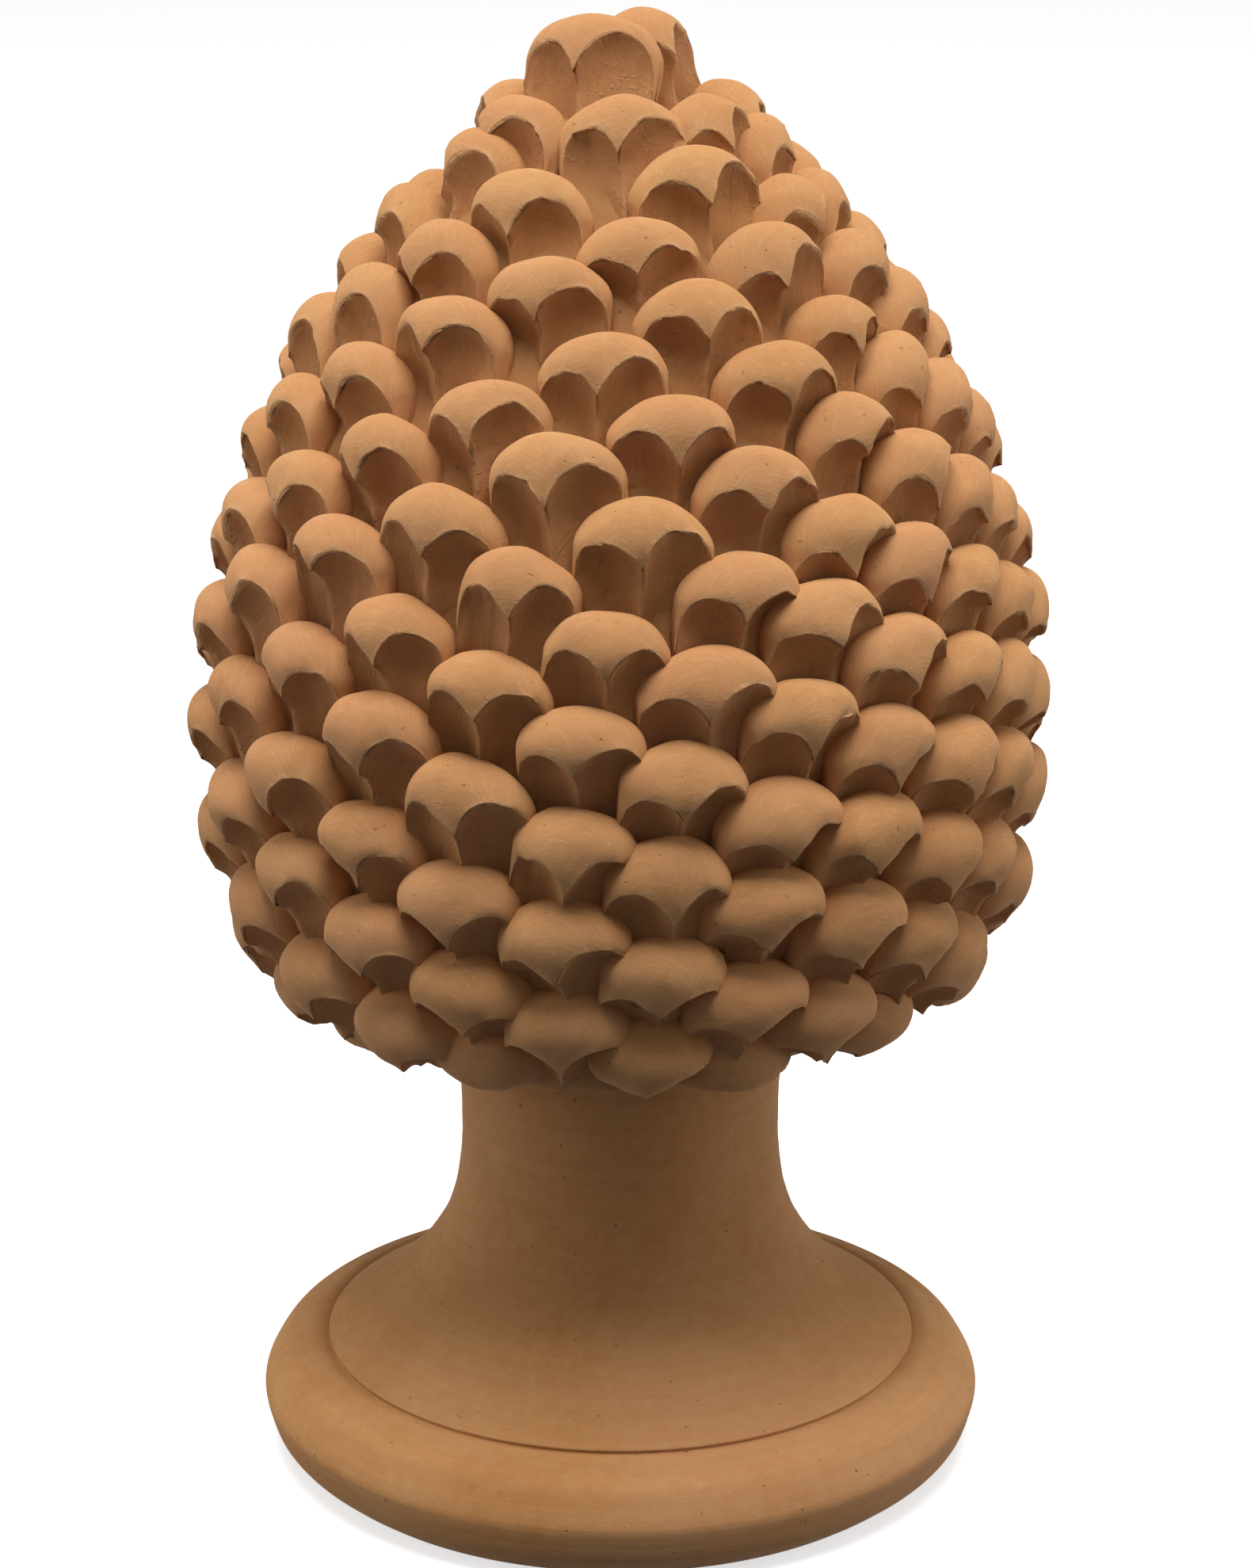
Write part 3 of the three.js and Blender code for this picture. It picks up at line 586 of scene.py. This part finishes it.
def carved_scales():
    """All scales at once. Each grid is roughened as clay is, then set in place by its own three directions:
    across to the right, along to the domed end and forward. Below the underside's height a point keeps only
    a share of its depth. The UV place follows the dome's brush strokes, in centimetres."""
    row, column, turn, facing, r, z, lean = scale_seats()
    elevation = np.where(row < FIRST_ROW, TIP_ELEVATION, SCALE_ELEVATION + LEAN_SHARE * (lean - 90))
    elevation = elevation + ELEVATION_SPREAD * vary(row, column, 3)
    a, b, f, scooped, arris, deep = scale_grids(row, column, lean)
    own = np.stack([row, column, row * 0], -1)[:, None, None, :] * (41.3, 29.7, 0)
    local = np.stack([a, b, f], -1)
    drag = np.stack([a, b * 0.22, f * 0.3], -1) + own
    broad = np.stack([value_noise(local + own, 15.0, seed) for seed in (31, 32, 33)], -1)
    lumps = np.stack([value_noise(local + own, 7.0, seed) for seed in (21, 22, 23)], -1)
    small = np.stack([value_noise(local + own, 2.6, seed) for seed in (24, 25, 26)], -1)
    local = local + 0.8 * broad + 0.5 * lumps + 0.07 * small
    grit = np.clip(value_noise(local + own, 1.7, 28) - 0.2, 0, 1)
    crumbs = grit * np.clip(value_noise(local + own, 6.0, 34) + 0.3, 0, 1)
    local[..., 2] += scooped * (0.42 * value_noise(drag, 1.6, 27) + 0.9 * crumbs)
    tear = value_noise(local + own, 1.9, 29)
    waver = value_noise(local + own, 3.6, 35)
    burr = np.clip(value_noise(local + own, 5.0, 30) - 0.1, 0, 1)
    local[..., 0] += arris * (0.5 * waver + 0.25 * tear)
    local[..., 1] += arris * (0.5 * tear + 0.4 * waver - burr)
    local[..., 2] += arris * (0.3 * tear + 0.6 * burr - 0.25)

    size = 1 + SIZE_SPREAD * vary(row, column, 5)
    local = local * size[:, None, None, None]
    faced, seated = np.radians(facing), np.radians(turn)
    lifted, twisted = (np.radians(v)[:, None] for v in (elevation, TWIST_SPREAD * vary(row, column, 4)))
    out = np.stack([np.sin(faced), -np.cos(faced), 0 * faced], -1)
    right = np.stack([np.cos(faced), np.sin(faced), 0 * faced], -1)
    up = np.array([0.0, 0.0, 1.0])
    end = out * np.cos(lifted) + up * np.sin(lifted)
    face = out * np.sin(lifted) - up * np.cos(lifted)
    across = right * np.cos(twisted) + end * np.sin(twisted)
    along = end * np.cos(twisted) - right * np.sin(twisted)
    centre = np.stack([r * np.sin(seated), -r * np.cos(seated), z], -1)
    axes = np.stack([across, along, face], 1)
    placed = np.einsum("nijk,nkl->nijl", local, axes) + centre[:, None, None, :]
    under = np.clip(UNDERSIDE_HEIGHT - placed[..., 2], 0, None)
    placed[..., 2] += (1 - UNDERSIDE_PRESS) * under
    tone = np.broadcast_to(vary(row, column, 12)[:, None, None], a.shape)
    brush = np.radians(18 + 26 * vary(row, column, 13))[:, None, None]
    step = np.hypot(np.diff(b, axis=2), np.diff(f, axis=2))
    travel = np.cumsum(np.concatenate([0 * b[..., :1], step], 2), 2)
    uv = np.stack([a * np.cos(brush) + travel * np.sin(brush) + own[..., 0],
                   travel * np.cos(brush) - a * np.sin(brush) + own[..., 1]], -1) * 0.1
    return row, placed, {"scooped": scooped, "arris": arris, "deep": deep, "tone": tone}, uv


def scale_faces(count, columns, rows):
    """Quads round each scale's closed rows, and a flat face over its first and last column."""
    grid = np.arange(columns * rows).reshape(columns, rows)
    here, there = grid[:-1], grid[1:]
    quads = np.stack([here, np.roll(here, -1, 1), np.roll(there, -1, 1), there], -1).reshape(-1, 4)
    one = np.concatenate([quads.ravel(), grid[0][::-1], grid[-1]])
    one_sizes = np.concatenate([np.full(len(quads), 4), [rows, rows]])
    faces = one[None, :] + (np.arange(count) * columns * rows)[:, None]
    return faces.ravel(), np.tile(one_sizes, count)


scale_clay, tree, shader, place, colour, grain = fired_clay("gouged_terracotta")
scooped, arris, deep, tone = (wire(tree, "ShaderNodeAttribute", {"attribute_name": name}).outputs["Fac"]
                              for name in ("scooped", "arris", "deep", "tone"))
own_place = wire(tree, "ShaderNodeUVMap", {"uv_map": "clay"}).outputs[0]
strokes = wire(tree, "ShaderNodeMapping", None, Vector=own_place, Scale=(2.6, 11, 1)).outputs[0]
brushed = cloud(tree, strokes, 1.0, 5, 0.7)
drags = wire(tree, "ShaderNodeMapping", None, Vector=own_place, Scale=(9, 1.6, 1)).outputs[0]
dragged = cloud(tree, drags, 1.0, 6, 0.75)
crumbs = between(tree, cloud(tree, place, 780, 3, 0.6), 0.54, 0.66)
patches = between(tree, cloud(tree, place, 95, 3, 0.6), 0.44, 0.62)
torn = add(tree, times(tree, patches, scooped), times(tree, arris, 0.5))
crumbs = times(tree, crumbs, torn)
# The scoops are coloured 40% of the way to the warm clay. This is partly the darker tone of the unwiped,
# gouged clay and partly painted shade on their downward-facing surfaces.
colour = blend_colour(tree, times(tree, scooped, 0.4), colour, WARM_CLAY)
colour = blend_colour(tree, between(tree, tone, -1.6, 3.0), colour, BLUSH_CLAY)
colour = blend_colour(tree, times(tree, crumbs, 0.3), colour, PALE_GRIT)
marks = times(tree, between(tree, dragged, 0.44, 0.34), scooped)
colour = blend_colour(tree, times(tree, marks, 0.3), colour, DARK_PIT_AND_SHADE)
worn = between(tree, brushed, 0.5, 0.75)
worn = times(tree, worn, less(tree, 0.34, times(tree, scooped, 0.28)))
colour = blend_colour(tree, worn, colour, PALE_GRIT)
# Painted highlight: a thin pale line along the arris, where its edge catches the light.
colour = blend_colour(tree, times(tree, arris, 0.2), colour, PALE_GRIT)
# Painted shade: the scales darken towards the dark pit colour down their roots, into the gaps between them.
colour = blend_colour(tree, times(tree, deep, 0.45), colour, DARK_PIT_AND_SHADE)
domes = times(tree, times(tree, brushed, 0.85), less(tree, 1.0, scooped))
gouges = times(tree, times(tree, dragged, 4.0), scooped)
gouges = add(tree, gouges, times(tree, crumbs, 1.6))
height = add(tree, add(tree, domes, gouges), times(tree, grain, 0.6))
finish_clay(tree, shader, colour, height, 0.00016)

scale_row, placed, values, uv = carved_scales()
columns, rows = placed.shape[1:3]
BANDS = (("scales_tip", FIRST_ROW - 1, -5), ("scales_shoulder", -4, -1), ("scales_middle", 0, 3),
         ("scales_belly", 4, 7), ("scales_skirt", 8, LAST_ROW))
for name, first, last in BANDS:
    chosen = (scale_row >= first) & (scale_row <= last)
    faces, sizes = scale_faces(int(chosen.sum()), columns, rows)
    band = clay_piece(name, placed[chosen].reshape(-1, 3), faces, sizes,
                      {key: value[chosen] for key, value in values.items()}, uv[chosen].reshape(-1, 2))
    band.data.materials.append(scale_clay)
    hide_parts("pinecone_finial")

# Studio floor and light
# A plain pale floor, one broad soft light above and a little in front, and two weaker ones low at the sides,
# as in the photograph, where the domes are brightest on top and the neck lies in the cone's shade.
FLOOR_REACH = 6
FLOOR_CORNERS = ((-1, -1), (1, -1), (1, 1), (-1, 1))
floor_mesh = bpy.data.meshes.new("floor")
floor_mesh.from_pydata([(x * FLOOR_REACH, y * FLOOR_REACH, 0) for x, y in FLOOR_CORNERS], [], [(0, 1, 2, 3)])
floor = bpy.data.objects.new("floor", floor_mesh)
bpy.context.scene.collection.objects.link(floor)
floor_finish = bpy.data.materials.new("floor")
floor_finish.use_nodes = True
floor_shader = floor_finish.node_tree.nodes["Principled BSDF"]
floor_shader.inputs["Base Color"].default_value = (0.86, 0.86, 0.86, 1)
floor_shader.inputs["Roughness"].default_value = 0.9
floor_shader.inputs["Emission Color"].default_value = (1, 1, 1, 1)
floor_shader.inputs["Emission Strength"].default_value = 0.62
floor_mesh.materials.append(floor_finish)
floor.visible_diffuse = False


def soft_light(name, place, aim, width, power):
    """A square area light at a place, facing its aim."""
    light = bpy.data.objects.new(name, bpy.data.lights.new(name, "AREA"))
    light.data.size = width
    light.data.energy = power
    away = np.subtract(place, aim)
    light.location = place
    tilt = math.atan2(math.hypot(away[0], away[1]), away[2])
    light.rotation_euler = (tilt, 0, math.atan2(away[1], away[0]) + math.pi / 2)
    bpy.context.scene.collection.objects.link(light)


soft_light("top_light", (0.0, -0.5, 2.0), (0, 0, 0.15), 1.1, 39)
soft_light("left_light", (-1.7, -0.1, 0.45), (0, 0, 0.15), 1.0, 10)
soft_light("right_light", (1.7, -0.1, 0.45), (0, 0, 0.15), 1.0, 9)
world = bpy.data.worlds.new("studio")
world.use_nodes = True
tree = world.node_tree
direction = wire(tree, "ShaderNodeTexCoord").outputs["Generated"]
above = wire(tree, "ShaderNodeSeparateXYZ", None, Vector=direction).outputs[2]
sky = blend_colour(tree, between(tree, above, -0.25, 0.35), (0.10, 0.095, 0.09, 1), (1, 1, 1, 1))
tree.links.new(sky, tree.nodes["Background"].inputs["Color"])
tree.nodes["Background"].inputs["Strength"].default_value = 0.28
bpy.context.scene.world = world
bpy.context.scene.view_settings.view_transform = "Standard"
